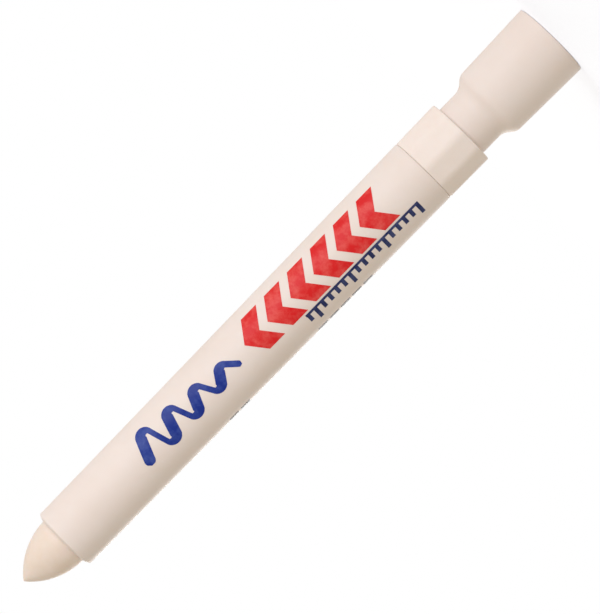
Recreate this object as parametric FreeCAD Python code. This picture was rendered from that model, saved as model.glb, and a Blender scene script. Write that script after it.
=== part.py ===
import FreeCAD, Part

import math
import os

Vector = FreeCAD.Vector

# The marker stands on the rim of its cap, tip up. All sizes are millimetres and degrees.

# Paint stick: a solid crayon of paint with an ogive tip
PAINT_D = 11.5
TIP_LENGTH = 11.8
TIP_BLUNT_R = 0.7
TIP_ARC_COUNT = 4
SPIGOT_LENGTH = 6.0

# How far the drive moves the stick from the pose with its whole tip showing
TIP_RECESS = 1.4
PAINT_ADVANCE = 65.0

# Barrel: a drafted tube, narrow at the mouth
BARREL_LENGTH = 107.0
BARREL_WALL = 1.4
BARREL_NARROWING = 0.55
MOUTH_BEVEL_WIDTH = 0.9
MOUTH_BEVEL_HEIGHT = 0.5
GUIDE_COUNT = 4
GUIDE_DEPTH = 0.5
GUIDE_WIDTH = 1.5
GUIDE_RUN_OUT = 3.0
GUIDE_ANGLE = 45.0

# Twist knob: ten flats outside, a snap journal in front, a socket for the cap's nose behind
KNOB_LENGTH = 11.0
KNOB_SIDES = 10
KNOB_FLARE = 0.1
KNOB_EDGE = 0.3
KNOB_CORNER_ANGLE = 268.5
SOCKET_WALL = 1.45
SOCKET_FLOOR = 3.0
JOURNAL_LENGTH = 6.15
JOURNAL_STEP = 0.6
JOURNAL_WALL = 1.2
JOURNAL_SLOTS = 4
JOURNAL_SLOT_WIDTH = 1.2
SNAP_HEIGHT = 0.33
SNAP_WIDTH = 1.2
SNAP_FROM_KNOB = 4.1
HUB_D = 6.8

# Screw spindle: a long rod, whose outside is the crest of the drive thread
SPINDLE_D = 5.4
SPINDLE_POINT = 0.8
SPINDLE_RUN_OUT = 6.0
STUB_FLATS = 3.6
STUB_SEAT = 1.5
FLANGE_THICKNESS = 1.0

# Paint carrier: a drive nut with guide lugs and a cup for the paint stick
NUT_THICKNESS = 4.0
CUP_WALL = 0.55
LUG_SETBACK = 0.5

# Cap: a flared sleeve for the barrel's mouth, a neck and a nose that goes into the knob
CAP_SLEEVE_LENGTH = 18.7
CAP_CONE_LENGTH = 2.2
CAP_NECK_LENGTH = 5.95
CAP_WALL = 0.88
CAP_FLARE = 0.45
CAP_STOP_DEPTH = 17.2
CAP_STOP_WIDTH = 0.47
SHOULDER_BEVEL = 0.7
NOSE_LENGTH = 7.85
NOSE_WALL = 0.8
NOSE_END = 1.5
NOSE_BEVEL = 0.8
EDGE_BEVEL = 0.25

# A side that leans less than this share of its length is a drafted wall
DRAFT_SLOPE = 0.1

# How far a cutting shape reaches past what it cuts
CUT_MARGIN = 1.0

# Gaps between pieces that move or are pressed together
PAINT_GAP = 0.15
KNOB_GAP = 0.15
JOURNAL_GAP = 0.08
SNAP_GAP = 0.1
GUIDE_GAP = 0.1
SCREW_GAP = 0.12
SPINDLE_BORE_GAP = 0.4
STUB_GAP = 0.02
END_GAP = 1.0
NOSE_GAP = 0.05
MOUTH_GAP = 0.12

# Print: thin fields of ink on the front of the barrel, measured as seen from the front
INK = 0.06
PRINT_MOUTH_MARGIN = 23.0
PRINT_REAR_MARGIN = 5.7
PRINT_TOP = 5.5
PRINT_SPLIT = -3.0
SCRIBBLE_LENGTH = 28.0
SCRIBBLE_STROKES = 8
SCRIBBLE_NIB = 1.25
SCRIBBLE_TAPER = 0.35
CHEVRON_GAP = 3.0
CHEVRON_PITCH = 6.8
CHEVRON_BAR = 4.4
CHEVRON_POINT = 3.2
SCALE_LENGTH = 33.0
SCALE_LINE = 0.5
SCALE_GAP = 0.45
TICK_PITCH = 2.0
TICK_WIDTH = 0.9
TICK_SHORT = 1.3
TICK_LONG = 2.1
TICK_GROUP_COUNT = 5
DASH_TURNS = (-75.0, -81.0)
DASH_FROM_MOUTH = (42.0, 68.3)
DASH_ROW_COUNTS = (2, 5)
DASH_LENGTH = 2.6
DASH_PITCH = 3.3
DASH_WIDTH = 0.45

# Heights up the axis
Z_CAP_SHOULDER = CAP_SLEEVE_LENGTH
Z_CAP_NECK = Z_CAP_SHOULDER + CAP_CONE_LENGTH
Z_KNOB = Z_CAP_NECK + CAP_NECK_LENGTH
Z_KNOB_TOP = Z_KNOB + KNOB_LENGTH
Z_SOCKET_FLOOR = Z_KNOB_TOP - SOCKET_FLOOR
Z_BARREL = Z_KNOB_TOP + KNOB_GAP
Z_JOURNAL_TOP = Z_KNOB_TOP + JOURNAL_LENGTH
Z_COUNTERBORE = Z_JOURNAL_TOP + END_GAP
Z_FLANGE_TOP = Z_JOURNAL_TOP + FLANGE_THICKNESS
Z_CARRIER = max(Z_FLANGE_TOP, Z_COUNTERBORE) + END_GAP + TIP_LENGTH + TIP_RECESS
Z_NUT_TOP = Z_CARRIER + NUT_THICKNESS
Z_SPINDLE_TOP = Z_NUT_TOP + PAINT_ADVANCE + SPINDLE_RUN_OUT
Z_GUIDE_TOP = Z_NUT_TOP + PAINT_ADVANCE + GUIDE_RUN_OUT
Z_MOUTH = Z_BARREL + BARREL_LENGTH
Z_TIP = Z_MOUTH + TIP_LENGTH

# Radii that follow from the sizes above, from the paint stick outwards
PAINT_R = PAINT_D / 2
BORE_R = PAINT_R + PAINT_GAP
MOUTH_R = BORE_R + BARREL_WALL
REAR_R = MOUTH_R + BARREL_NARROWING
GUIDE_R = BORE_R + GUIDE_DEPTH
COUNTERBORE_R = BORE_R + JOURNAL_STEP
JOURNAL_R = COUNTERBORE_R - JOURNAL_GAP
SOCKET_R = REAR_R - SOCKET_WALL
NECK_R = SOCKET_R - NOSE_GAP
SLEEVE_R = MOUTH_R + MOUTH_GAP
SPINDLE_R = SPINDLE_D / 2
SPINDLE_BORE_R = SPINDLE_R + SPINDLE_BORE_GAP


def turned(corners):
    """An outline turned about the axis. A corner is (r, z) or (r, z, bevel)."""
    points = []
    count = len(corners)
    for i, (r, z, *bevel) in enumerate(corners):
        corner = Vector(r, 0, z)
        if not bevel:
            points.append(corner)
            continue
        for side in (corners[i - 1], corners[(i + 1) % count]):
            along = Vector(side[0], 0, side[1]) - corner
            trim = min(bevel[0], 0.45 * along.Length)
            points.append(corner + along.normalize() * trim)
    sides = [outline_side(start, end) for start, end in zip(points, points[1:] + points[:1])]
    return Part.Face(Part.Wire(sides)).revolve(Vector(0, 0, 0), Vector(0, 0, 1), 360)


def outline_side(start, end):
    """A straight side of an outline. A drafted wall is a one-span spline, which keeps its facets few."""
    lean = abs(end.x - start.x)
    if 0 < lean < DRAFT_SLOPE * abs(end.z - start.z):
        side = Part.BSplineCurve()
        side.buildFromPoles([start, end], False, 1)
        return side.toShape()
    return Part.makeLine(start, end)


def polygon_wire(flat_r, z, sides, corner_angle):
    """A level regular polygon, given by the radius to its flats."""
    corner_r = flat_r / math.cos(math.pi / sides)
    corners = []
    for i in range(sides + 1):
        angle = math.radians(corner_angle + 360.0 * (i % sides) / sides)
        corners.append(Vector(corner_r * math.cos(angle), corner_r * math.sin(angle), z))
    return Part.makePolygon(corners)


def radial_bars(count, inner_r, outer_r, width, z_low, z_high):
    """Bars that point outwards from the axis, evenly spaced round it."""
    bar = Part.makeBox(outer_r - inner_r, width, z_high - z_low, Vector(inner_r, -width / 2, z_low))
    bars = []
    for i in range(count):
        copy = bar.copy()
        copy.rotate(Vector(0, 0, 0), Vector(0, 0, 1), GUIDE_ANGLE + 360.0 * i / count)
        bars.append(copy)
    return bars


def barrel_r(z):
    """The barrel's outer radius at a height."""
    return REAR_R - BARREL_NARROWING * (z - Z_BARREL) / BARREL_LENGTH


def arc_between(centre_r, centre_z, radius, start, end):
    """An arc about a centre in the XZ plane, between two angles from the level."""
    points = []
    for angle in (start, (start + end) / 2, end):
        points.append(Vector(centre_r + radius * math.cos(angle), 0, centre_z + radius * math.sin(angle)))
    return Part.Arc(*points).toShape()


def tip_edges():
    """The ogive from the stick's side to its blunt point. The side arc is split to keep its facets few."""
    square = PAINT_R ** 2 + TIP_LENGTH ** 2 - 2 * TIP_LENGTH * TIP_BLUNT_R
    side_r = square / (2 * (PAINT_R - TIP_BLUNT_R))
    lean = math.asin((TIP_LENGTH - TIP_BLUNT_R) / (side_r - TIP_BLUNT_R))
    step = lean / TIP_ARC_COUNT
    edges = []
    for i in range(TIP_ARC_COUNT):
        edges.append(arc_between(PAINT_R - side_r, Z_MOUTH, side_r, step * i, step * (i + 1)))
    edges.append(arc_between(0, Z_TIP - TIP_BLUNT_R, TIP_BLUNT_R, lean, math.pi / 2))
    return edges


def make_barrel():
    """The tube with its mouth bevel, guide grooves, rear counterbore and snap groove."""
    snap_z = Z_KNOB_TOP + SNAP_FROM_KNOB
    snap_half = SNAP_WIDTH / 2 + SNAP_GAP
    snap_r = JOURNAL_R + SNAP_HEIGHT + SNAP_GAP
    bevel_z = Z_MOUTH - MOUTH_BEVEL_HEIGHT
    tube = turned([
        (COUNTERBORE_R, Z_BARREL),
        (REAR_R, Z_BARREL, EDGE_BEVEL),
        (barrel_r(bevel_z), bevel_z),
        (MOUTH_R - MOUTH_BEVEL_WIDTH, Z_MOUTH),
        (BORE_R, Z_MOUTH),
        (BORE_R, Z_COUNTERBORE),
        (COUNTERBORE_R, Z_COUNTERBORE),
        (COUNTERBORE_R, snap_z + snap_half),
        (snap_r, snap_z + snap_half),
        (snap_r, snap_z - snap_half),
        (COUNTERBORE_R, snap_z - snap_half),
    ])
    guides = radial_bars(GUIDE_COUNT, 0, GUIDE_R, GUIDE_WIDTH, Z_JOURNAL_TOP, Z_GUIDE_TOP)
    return tube.cut(guides)


def make_knob_body():
    """The ten-sided grip: flats that lean out to the rear, with a bevel at both ends."""
    front_r = REAR_R - KNOB_FLARE / 2
    rear_r = REAR_R + KNOB_FLARE / 2
    rings = [
        (rear_r - KNOB_EDGE, Z_KNOB),
        (rear_r, Z_KNOB + KNOB_EDGE),
        (front_r, Z_KNOB_TOP - KNOB_EDGE),
        (front_r - KNOB_EDGE, Z_KNOB_TOP),
    ]
    wires = [polygon_wire(r, z, KNOB_SIDES, KNOB_CORNER_ANGLE) for r, z in rings]
    return Part.makeLoft(wires, True, True)


def make_journal():
    """The slotted ring that snaps into the barrel."""
    snap_z = Z_KNOB_TOP + SNAP_FROM_KNOB
    inner_r = JOURNAL_R - JOURNAL_WALL
    ring = turned([
        (inner_r, Z_KNOB_TOP - KNOB_EDGE),
        (JOURNAL_R, Z_KNOB_TOP - KNOB_EDGE),
        (JOURNAL_R, snap_z - SNAP_WIDTH / 2),
        (JOURNAL_R + SNAP_HEIGHT, snap_z - SNAP_WIDTH / 4),
        (JOURNAL_R + SNAP_HEIGHT, snap_z),
        (JOURNAL_R, snap_z + SNAP_WIDTH / 2),
        (JOURNAL_R, Z_JOURNAL_TOP, EDGE_BEVEL),
        (inner_r, Z_JOURNAL_TOP),
    ])
    slots = radial_bars(
        JOURNAL_SLOTS, HUB_D / 2, REAR_R, JOURNAL_SLOT_WIDTH, Z_KNOB_TOP + JOURNAL_SLOT_WIDTH, Z_COUNTERBORE
    )
    return ring.cut(slots)


def make_twist_knob():
    """Grip, journal and hub in one moulding, with the cap's socket behind and the spindle's seat in front."""
    hub_height = Z_JOURNAL_TOP - Z_KNOB_TOP + KNOB_EDGE
    hub = Part.makeCylinder(HUB_D / 2, hub_height, Vector(0, 0, Z_KNOB_TOP - KNOB_EDGE))
    knob = make_knob_body().fuse([make_journal(), hub])
    socket = turned([
        (0, Z_KNOB - END_GAP),
        (SOCKET_R + END_GAP + KNOB_EDGE, Z_KNOB - END_GAP),
        (SOCKET_R, Z_KNOB + KNOB_EDGE),
        (SOCKET_R, Z_SOCKET_FLOOR),
        (0, Z_SOCKET_FLOOR),
    ])
    seat_z = Z_SOCKET_FLOOR + STUB_SEAT
    seat = Part.Face(polygon_wire(STUB_FLATS / 2 + STUB_GAP, seat_z, 6, 0))
    seat_hole = seat.extrude(Vector(0, 0, Z_COUNTERBORE - seat_z))
    return knob.cut([socket, seat_hole]).removeSplitter()


def make_screw_spindle():
    """Six-sided stub, flange and drive rod."""
    stub_z = Z_SOCKET_FLOOR + STUB_SEAT + STUB_GAP
    stub = Part.Face(polygon_wire(STUB_FLATS / 2, stub_z, 6, 0))
    stub = stub.extrude(Vector(0, 0, Z_FLANGE_TOP - stub_z))
    rod = turned([
        (0, Z_JOURNAL_TOP),
        (HUB_D / 2, Z_JOURNAL_TOP),
        (HUB_D / 2, Z_FLANGE_TOP),
        (SPINDLE_R, Z_FLANGE_TOP),
        (SPINDLE_R, Z_SPINDLE_TOP - SPINDLE_POINT),
        (SPINDLE_R - SPINDLE_POINT, Z_SPINDLE_TOP),
        (0, Z_SPINDLE_TOP),
    ])
    return rod.fuse(stub).removeSplitter()


def make_paint_carrier():
    """The nut that the spindle drives, its lugs in the barrel's grooves, and the cup above it."""
    nut_r = SPINDLE_R + SCREW_GAP
    cup_top = Z_NUT_TOP + SPIGOT_LENGTH
    body = turned([
        (nut_r, Z_CARRIER),
        (PAINT_R, Z_CARRIER, EDGE_BEVEL),
        (PAINT_R, cup_top),
        (PAINT_R - CUP_WALL, cup_top),
        (PAINT_R - CUP_WALL, Z_NUT_TOP),
        (nut_r, Z_NUT_TOP),
    ])
    width = GUIDE_WIDTH - 2 * GUIDE_GAP
    lugs = radial_bars(
        GUIDE_COUNT, PAINT_R - CUP_WALL, GUIDE_R - GUIDE_GAP, width, Z_CARRIER + LUG_SETBACK, Z_NUT_TOP
    )
    return body.fuse(lugs).removeSplitter()


def make_paint_stick():
    """The crayon: a spigot in the carrier's cup, a straight body, an ogive tip and a bore for the spindle."""
    spigot_r = PAINT_R - CUP_WALL
    cup_top = Z_NUT_TOP + SPIGOT_LENGTH
    bore_top = Z_SPINDLE_TOP + TIP_LENGTH + TIP_RECESS + END_GAP
    corners = [
        (0, Z_TIP),
        (0, bore_top),
        (SPINDLE_BORE_R, bore_top - SPINDLE_POINT),
        (SPINDLE_BORE_R, Z_NUT_TOP),
        (spigot_r, Z_NUT_TOP),
        (spigot_r, cup_top),
        (PAINT_R, cup_top),
        (PAINT_R, Z_MOUTH),
    ]
    side = Part.makePolygon([Vector(r, 0, z) for r, z in corners])
    outline = Part.Wire(Part.__sortEdges__(side.Edges + tip_edges()))
    return Part.Face(outline).revolve(Vector(0, 0, 0), Vector(0, 0, 1), 360)


def make_cap():
    """One hollow moulding: the flared sleeve, its shoulder, the neck and the closed nose."""
    shoulder_r = SLEEVE_R + CAP_WALL
    nose_top = Z_KNOB + NOSE_LENGTH
    cavity_top = nose_top - NOSE_END
    cavity_r = NECK_R - NOSE_WALL
    return turned([
        (SLEEVE_R, 0),
        (shoulder_r + CAP_FLARE, 0, EDGE_BEVEL),
        (shoulder_r, Z_CAP_SHOULDER, SHOULDER_BEVEL),
        (NECK_R, Z_CAP_NECK),
        (NECK_R, nose_top, NOSE_BEVEL),
        (0, nose_top),
        (0, cavity_top),
        (cavity_r, cavity_top),
        (cavity_r, Z_CAP_NECK - NOSE_WALL / 2),
        (SLEEVE_R - CAP_STOP_WIDTH, CAP_STOP_DEPTH),
        (SLEEVE_R, CAP_STOP_DEPTH),
    ])


def ink_skin(z_low, z_high):
    """A shell of ink all round the barrel between two heights."""
    base = Vector(0, 0, z_low)
    height = z_high - z_low
    outside = Part.makeCone(barrel_r(z_low) + INK, barrel_r(z_high) + INK, height, base)
    return outside.cut(Part.makeCone(barrel_r(z_low), barrel_r(z_high), height, base))


def outline_prism(points):
    """The straight-sided outline (x, z) pushed through the front half of the barrel."""
    corners = [Vector(x, -REAR_R - CUT_MARGIN, z) for x, z in points]
    return Part.Face(Part.makePolygon(corners + corners[:1])).extrude(Vector(0, REAR_R + CUT_MARGIN, 0))


def band_prism(x_low, x_high, z_low, z_high):
    """A rectangle pushed through the front half of the barrel."""
    return outline_prism([(x_low, z_low), (x_high, z_low), (x_high, z_high), (x_low, z_high)])


def inked(prisms):
    """The ink that each prism leaves on the barrel, as separate solids."""
    low = min(prism.BoundBox.ZMin for prism in prisms) - CUT_MARGIN
    high = max(prism.BoundBox.ZMax for prism in prisms) + CUT_MARGIN
    skin = ink_skin(low, high)
    patches = []
    for prism in prisms:
        patches += skin.common(prism).Solids
    return Part.makeCompound(patches)


def make_print_scribble():
    """One pen stroke that goes to and fro across the barrel and shrinks towards the rear."""
    top_z = Z_MOUTH - PRINT_MOUTH_MARGIN
    nib_r = SCRIBBLE_NIB / 2
    points = []
    for i in range(SCRIBBLE_STROKES + 1):
        inset = nib_r + SCRIBBLE_TAPER * i
        x = PRINT_TOP - inset if i % 2 else PRINT_SPLIT + inset / 2
        z = top_z - nib_r - SCRIBBLE_LENGTH * i / SCRIBBLE_STROKES
        points.append(Vector(x, -REAR_R - CUT_MARGIN, z))
    through = Vector(0, REAR_R + CUT_MARGIN, 0)
    parts = [Part.makeCylinder(nib_r, through.y, point, through) for point in points]
    for start, end in zip(points, points[1:]):
        aside = (end - start).cross(Vector(0, 1, 0)).normalize() * nib_r
        corners = [start + aside, end + aside, end - aside, start - aside, start + aside]
        parts.append(Part.Face(Part.makePolygon(corners)).extrude(through))
    return inked([parts[0].fuse(parts[1:]).removeSplitter()])


def make_print_chevrons():
    """Bold chevrons that point to the tip, as many as the print field holds."""
    top_z = Z_MOUTH - PRINT_MOUTH_MARGIN - SCRIBBLE_LENGTH - SCRIBBLE_NIB - CHEVRON_GAP
    room = top_z - Z_BARREL - PRINT_REAR_MARGIN - CHEVRON_POINT - CHEVRON_BAR
    middle_x = (PRINT_TOP + PRINT_SPLIT) / 2
    prisms = []
    for i in range(1 + int(room // CHEVRON_PITCH)):
        point_z = top_z - CHEVRON_PITCH * i
        arm_z = point_z - CHEVRON_POINT
        prisms.append(outline_prism([
            (PRINT_SPLIT, arm_z),
            (middle_x, point_z),
            (PRINT_TOP, arm_z),
            (PRINT_TOP, arm_z - CHEVRON_BAR),
            (middle_x, point_z - CHEVRON_BAR),
            (PRINT_SPLIT, arm_z - CHEVRON_BAR),
        ]))
    return inked(prisms)


def make_print_scale():
    """A fine line with ticks beside the chevrons, every few ticks a longer one."""
    low_z = Z_BARREL + PRINT_REAR_MARGIN
    line_x = PRINT_SPLIT - SCALE_GAP
    tick_x = line_x - SCALE_LINE
    prisms = [band_prism(tick_x, line_x, low_z, low_z + SCALE_LENGTH)]
    for i in range(1 + int((SCALE_LENGTH - TICK_WIDTH) // TICK_PITCH)):
        length = TICK_LONG if i % TICK_GROUP_COUNT == 0 else TICK_SHORT
        tick_z = low_z + TICK_PITCH * i
        prisms.append(band_prism(tick_x - length, line_x, tick_z, tick_z + TICK_WIDTH))
    return inked([prisms[0].fuse(prisms[1:]).removeSplitter()])


def make_print_dashes():
    """Short dashes in two rows, well round the side of the barrel."""
    prisms = []
    for from_mouth, count in zip(DASH_FROM_MOUTH, DASH_ROW_COUNTS):
        for i in range(count):
            top_z = Z_MOUTH - from_mouth - DASH_PITCH * i
            for turn in DASH_TURNS:
                dash = band_prism(-DASH_WIDTH / 2, DASH_WIDTH / 2, top_z - DASH_LENGTH, top_z)
                dash.rotate(Vector(0, 0, 0), Vector(0, 0, 1), turn)
                prisms.append(dash)
    return inked(prisms)


PIECES = {
    "barrel": make_barrel,
    "twist_knob": make_twist_knob,
    "screw_spindle": make_screw_spindle,
    "paint_carrier": make_paint_carrier,
    "paint_stick": make_paint_stick,
    "cap": make_cap,
    "print_scribble": make_print_scribble,
    "print_chevrons": make_print_chevrons,
    "print_scale": make_print_scale,
    "print_dashes": make_print_dashes,
}

os.makedirs("parts", exist_ok=True)
for name, make in PIECES.items():
    make().exportStep("parts/" + name + ".step")
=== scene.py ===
import math

import bpy
from mathutils import Matrix, Vector


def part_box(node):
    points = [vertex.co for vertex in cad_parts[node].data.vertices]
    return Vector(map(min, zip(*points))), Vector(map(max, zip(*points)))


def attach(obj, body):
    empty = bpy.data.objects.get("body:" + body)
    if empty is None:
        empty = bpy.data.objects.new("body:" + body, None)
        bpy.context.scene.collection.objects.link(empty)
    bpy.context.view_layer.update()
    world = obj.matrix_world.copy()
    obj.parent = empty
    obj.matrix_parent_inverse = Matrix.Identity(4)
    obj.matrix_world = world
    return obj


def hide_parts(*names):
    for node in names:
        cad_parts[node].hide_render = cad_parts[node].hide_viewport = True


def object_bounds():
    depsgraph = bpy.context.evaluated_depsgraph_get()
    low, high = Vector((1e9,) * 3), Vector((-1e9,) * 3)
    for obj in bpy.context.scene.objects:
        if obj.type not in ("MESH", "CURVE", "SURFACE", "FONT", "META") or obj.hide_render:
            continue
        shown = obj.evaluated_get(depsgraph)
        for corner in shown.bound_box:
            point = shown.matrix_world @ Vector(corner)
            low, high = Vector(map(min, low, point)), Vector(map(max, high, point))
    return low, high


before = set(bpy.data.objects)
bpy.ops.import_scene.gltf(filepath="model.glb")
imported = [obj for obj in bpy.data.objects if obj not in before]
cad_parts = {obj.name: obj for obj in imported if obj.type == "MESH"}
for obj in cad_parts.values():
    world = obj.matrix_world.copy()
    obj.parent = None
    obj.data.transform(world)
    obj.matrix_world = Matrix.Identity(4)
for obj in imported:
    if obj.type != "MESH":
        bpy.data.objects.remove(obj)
cad_low, cad_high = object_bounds()


# Barrel
# The white tube that the hand holds, injection moulded in polypropylene. A draft narrows it to the mouth.
# Four guide grooves run down its bore, and a groove near the rear end holds the knob's snap bead.

# Sizes are in mm unless they say otherwise, and MM makes them the frame's metres. Z runs up to the tip.
MM = 0.001
BARREL_LOW, BARREL_HIGH = [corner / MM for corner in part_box("barrel")]
REAR_Z = BARREL_LOW.z
MOUTH_Z = BARREL_HIGH.z
REAR_R = BARREL_HIGH.x
BARREL_NARROWING = 0.55
MOUTH_R = REAR_R - BARREL_NARROWING
BORE_R = 5.9
COUNTERBORE_R = 6.5
COUNTERBORE_Z = REAR_Z + 7.0
SNAP_GROOVE_R = 6.85
SNAP_GROOVE_Z = (REAR_Z + 3.25, REAR_Z + 4.65)
MOUTH_BEVEL = 0.9
BEVEL_Z = MOUTH_Z - 0.5
GUIDE_COUNT = 4
GUIDE_WIDTH = 1.5
GUIDE_R = 6.4
GUIDE_FROM_MOUTH = 13.8
COUNTERBORE_EDGE_R = 0.1
REAR_EDGE_R = 0.25
MOUTH_EDGE_R = 0.3
BORE_EDGE_R = 0.12
BARREL_SEGMENTS = 128
CUT_MARGIN = 1.0
BAR_INPUTS = [
    ("Count", "Int"), ("Inner Radius", "Float"), ("Outer Radius", "Float"),
    ("Width", "Float"), ("Low", "Float"), ("High", "Float"),
]
WELD = 0.001
HARD_ANGLE = 32.0

WARM_WHITE = (0.855, 0.765, 0.73, 1.0)
WARM_WHITE_DEEP = (0.835, 0.734, 0.687, 1.0)
MOULD_SATIN = 0.46
HANDLED = 0.5
CLOUDS = 90.0
SWELLS = 420.0
SATIN_GRAIN = 5200.0
SCUFF_STROKES = (2600.0, 2600.0, 120.0)
WORN_PLACES = 60.0
PLASTIC_BUMP = (0.25, 0.04)
PLASTIC_SHINE = 0.15
PLASTIC_MILK = (0.12, 0.8)
PLASTIC_GLOW = (1.0, 0.7, 0.5)


def add_node(tree, kind, inputs=None, **settings):
    """Adds a node with its settings, and fills or links its inputs by name or number."""
    node = tree.nodes.new(kind)
    for name, value in settings.items():
        setattr(node, name, value)
    for socket, value in (inputs or {}).items():
        if isinstance(value, bpy.types.NodeSocket):
            tree.links.new(value, node.inputs[socket])
        else:
            node.inputs[socket].default_value = value
    return node


def calc(tree, operation, first, second=0.0):
    """The output of one maths node."""
    return add_node(tree, "ShaderNodeMath", {0: first, 1: second}, operation=operation).outputs[0]


def vector(tree, x=0.0, y=0.0, z=0.0):
    """Three values as one vector."""
    return add_node(tree, "ShaderNodeCombineXYZ", {0: x, 1: y, 2: z}).outputs[0]


def remap(tree, value, low, high, to_low=0.0, to_high=1.0):
    """A value stretched from one range to another, and kept inside it."""
    inputs = {0: value, 1: low, 2: high, 3: to_low, 4: to_high}
    return add_node(tree, "ShaderNodeMapRange", inputs).outputs[0]


def welded(tree, mesh, distance=WELD):
    """A mesh whose points closer than a distance, in mm, are made one."""
    inputs = {"Geometry": mesh, "Distance": distance * MM}
    return add_node(tree, "GeometryNodeMergeByDistance", inputs).outputs[0]


def copied(tree, points, mesh, turn=None):
    """A real copy of a mesh on each point, turned by the point's own angles."""
    inputs = {"Points": points, "Instance": mesh}
    if turn:
        inputs["Rotation"] = turn
    copies = add_node(tree, "GeometryNodeInstanceOnPoints", inputs)
    return add_node(tree, "GeometryNodeRealizeInstances", {"Geometry": copies.outputs[0]}).outputs[0]


def shape_tree(name, inputs):
    """An empty geometry tree with named inputs: (name, socket type) pairs."""
    tree = bpy.data.node_groups.new(name, "GeometryNodeTree")
    for label, kind in [("Geometry", "Geometry")] + inputs + [("Material", "Material")]:
        tree.interface.new_socket(label, in_out="INPUT", socket_type="NodeSocket" + kind)
    tree.interface.new_socket("Geometry", in_out="OUTPUT", socket_type="NodeSocketGeometry")
    return tree, add_node(tree, "NodeGroupInput").outputs


def end_tree(tree, given, mesh):
    """Welds the mesh, keeps its hard edges hard, and gives it the tree's material."""
    smooth = add_node(tree, "GeometryNodeSetShadeSmooth", {"Geometry": welded(tree, mesh)}, domain="FACE")
    angle = add_node(tree, "GeometryNodeInputMeshEdgeAngle").outputs["Unsigned Angle"]
    hard = calc(tree, "GREATER_THAN", angle, math.radians(HARD_ANGLE))
    sharp = add_node(
        tree, "GeometryNodeSetShadeSmooth",
        {"Geometry": smooth.outputs[0], "Selection": hard, "Shade Smooth": False}, domain="EDGE",
    )
    real = add_node(tree, "GeometryNodeRealizeInstances", {"Geometry": sharp.outputs[0]})
    coated = add_node(
        tree, "GeometryNodeSetMaterial", {"Geometry": real.outputs[0], "Material": given["Material"]}
    )
    add_node(tree, "NodeGroupOutput", {"Geometry": coated.outputs[0]})


def grid_round_axis(tree, rows, segments):
    """A grid to lay round the Z axis, with each point's row and its share of a full turn."""
    columns = calc(tree, "ADD", segments, 1.0)
    grid = add_node(tree, "GeometryNodeMeshGrid", {"Vertices X": columns, "Vertices Y": rows})
    index = add_node(tree, "GeometryNodeInputIndex").outputs[0]
    column = calc(tree, "FLOOR", calc(tree, "DIVIDE", index, rows))
    return grid.outputs["Mesh"], calc(tree, "MODULO", index, rows), calc(tree, "DIVIDE", column, segments)


def make_turning_tree():
    """Turns an outline, drawn in the XZ plane, round the Z axis.

    Each column of a grid becomes the outline at that column's angle."""
    tree, given = shape_tree("turned_piece", [("Segments", "Int")])
    outline = given["Geometry"]
    size = add_node(tree, "GeometryNodeAttributeDomainSize", {"Geometry": outline}, component="MESH")
    grid, row, share = grid_round_axis(tree, size.outputs["Point Count"], given["Segments"])
    place = add_node(tree, "GeometryNodeInputPosition").outputs[0]
    point = add_node(
        tree, "GeometryNodeSampleIndex", {"Geometry": outline, "Value": place, "Index": row},
        data_type="FLOAT_VECTOR",
    )
    turned = add_node(
        tree, "ShaderNodeVectorRotate",
        {"Vector": point.outputs[0], "Angle": calc(tree, "MULTIPLY", share, 2 * math.pi)},
        rotation_type="Z_AXIS",
    )
    skin = add_node(tree, "GeometryNodeSetPosition", {"Geometry": grid, "Position": turned.outputs[0]})
    end_tree(tree, given, skin.outputs[0])
    return tree


def turned_copies(tree, mesh, count, first, step):
    """Copies of a mesh, turned round the Z axis by a first angle and a step more for each."""
    centres = add_node(tree, "GeometryNodePoints", {"Count": count})
    index = add_node(tree, "GeometryNodeInputIndex").outputs[0]
    turn = calc(tree, "ADD", first, calc(tree, "MULTIPLY", index, step))
    return copied(tree, centres.outputs[0], mesh, vector(tree, z=turn))


def ring_of_bars(tree, given):
    """Bars that point outwards from the Z axis, evenly spaced, from half a step past the X axis."""
    size = vector(
        tree,
        x=calc(tree, "SUBTRACT", given["Outer Radius"], given["Inner Radius"]),
        y=given["Width"],
        z=calc(tree, "SUBTRACT", given["High"], given["Low"]),
    )
    middle = vector(
        tree,
        x=calc(tree, "MULTIPLY", calc(tree, "ADD", given["Outer Radius"], given["Inner Radius"]), 0.5),
        z=calc(tree, "MULTIPLY", calc(tree, "ADD", given["High"], given["Low"]), 0.5),
    )
    bar = add_node(tree, "GeometryNodeMeshCube", {"Size": size})
    placed = add_node(tree, "GeometryNodeTransform", {"Geometry": bar.outputs[0], "Translation": middle})
    step = calc(tree, "DIVIDE", 2 * math.pi, given["Count"])
    return turned_copies(tree, placed.outputs[0], given["Count"], calc(tree, "MULTIPLY", step, 0.5), step)


def make_slotting_tree():
    """Cuts evenly spaced slots that point outwards from the Z axis."""
    tree, given = shape_tree("slots", BAR_INPUTS)
    cut = add_node(
        tree, "GeometryNodeMeshBoolean", {"Mesh 1": given["Geometry"], "Mesh 2": ring_of_bars(tree, given)},
        operation="DIFFERENCE", solver="EXACT",
    )
    end_tree(tree, given, cut.outputs[0])
    return tree


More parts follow.
